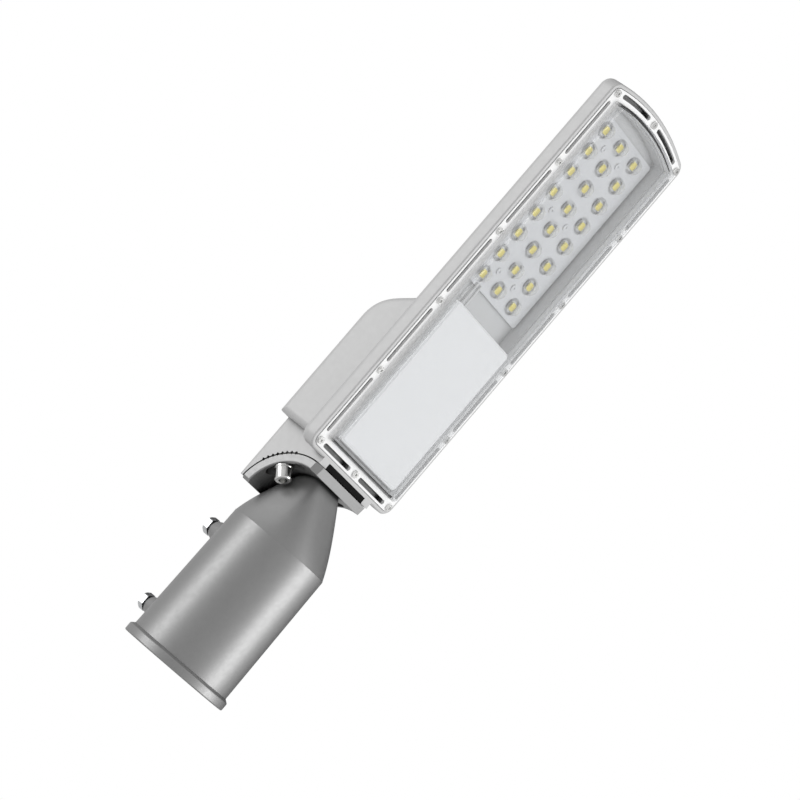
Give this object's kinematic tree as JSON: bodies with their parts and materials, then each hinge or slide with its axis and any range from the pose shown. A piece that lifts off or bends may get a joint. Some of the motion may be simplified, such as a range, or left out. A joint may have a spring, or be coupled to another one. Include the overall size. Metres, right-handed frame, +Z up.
{
  "type": "street light head",
  "caption": "LED street-light head with a clear cover, lens array, driver box and tilting pole spigot.",
  "frame": {"origin": "centre of the pole socket's mouth", "axes": "+X along the socket towards the head's tip, +Z up, the light shines towards -Z"},
  "size_m": [0.4294, 0.104, 0.086],
  "materials": {
    "housing_paint": "satin light grey powder coat on die-cast aluminium",
    "spigot_paint": "satin grey metallic powder coat on die-cast aluminium",
    "zinc_steel": "zinc-plated steel",
    "bright_steel": "bright nickel-plated steel",
    "screw_steel": "stainless steel",
    "clear_cover": "clear polycarbonate",
    "lens_clear": "clear acrylic",
    "silicone": "white silicone",
    "thermal_pad": "grey silicone pad",
    "board_white": "white solder mask on an aluminium-core board",
    "board_screw_white": "white-coated screws",
    "phosphor": "yellow LED phosphor",
    "plate_grey": "smooth light grey moulding",
    "driver_case": "plain aluminium case",
    "module_grey": "dark potted module",
    "terminal_white": "white polyamide",
    "earth_brass": "brass",
    "black_rubber": "black rubber",
    "vent_black": "black polyamide",
    "lead_white": "white silicone insulation",
    "lead_blue": "blue insulation"
  },
  "bodies": {
    "spigot_body": {"spigot": "spigot_paint"},
    "head": {"housing": "housing_paint", "joint_seal": "black_rubber", "tilt_washer_left": "bright_steel", "tilt_washer_right": "bright_steel", "spring_washer_left": "bright_steel", "spring_washer_right": "bright_steel", "clear_cover": "clear_cover", "cover_gasket": "silicone", "cover_screws": "screw_steel", "thermal_pad": "thermal_pad", "led_board": "board_white", "board_screws": "board_screw_white", "led_chips": "phosphor", "led_lenses": "lens_clear", "driver_plate": "plate_grey", "led_driver": "driver_case", "driver_screws": "zinc_steel", "surge_protector": "module_grey", "terminal_block": "terminal_white", "earth_screw": "earth_brass", "cable_grommet": "black_rubber", "breather_vent": "vent_black", "output_leads": "lead_white", "mains_leads": "lead_blue"},
    "front_bolt": {"pole_bolt_front": "zinc_steel"},
    "rear_bolt": {"pole_bolt_rear": "zinc_steel"},
    "left_screw": {"tilt_screw_left": "bright_steel"},
    "right_screw": {"tilt_screw_right": "bright_steel"}
  },
  "joints": [
    {"name": "head_tilt", "type": "hinge", "parent": "spigot_body", "child": "head", "pos_m": [0.1092, 0, -0.005], "axis": [0, -1, 0], "range_deg": [-20, 15]},
    {"name": "front_bolt_travel", "type": "slide", "parent": "spigot_body", "child": "front_bolt", "axis": [0, 0, -1], "range_m": [0, 0.0014]},
    {"name": "rear_bolt_travel", "type": "slide", "parent": "spigot_body", "child": "rear_bolt", "axis": [0, 0, -1], "range_m": [0, 0.0014]},
    {"name": "left_screw_travel", "type": "slide", "parent": "head", "child": "left_screw", "axis": [-0.7254, 0, -0.6884], "range_m": [0, 0.0012]},
    {"name": "right_screw_travel", "type": "slide", "parent": "head", "child": "right_screw", "axis": [-0.7254, 0, -0.6884], "range_m": [0, 0.0012]}
  ]
}
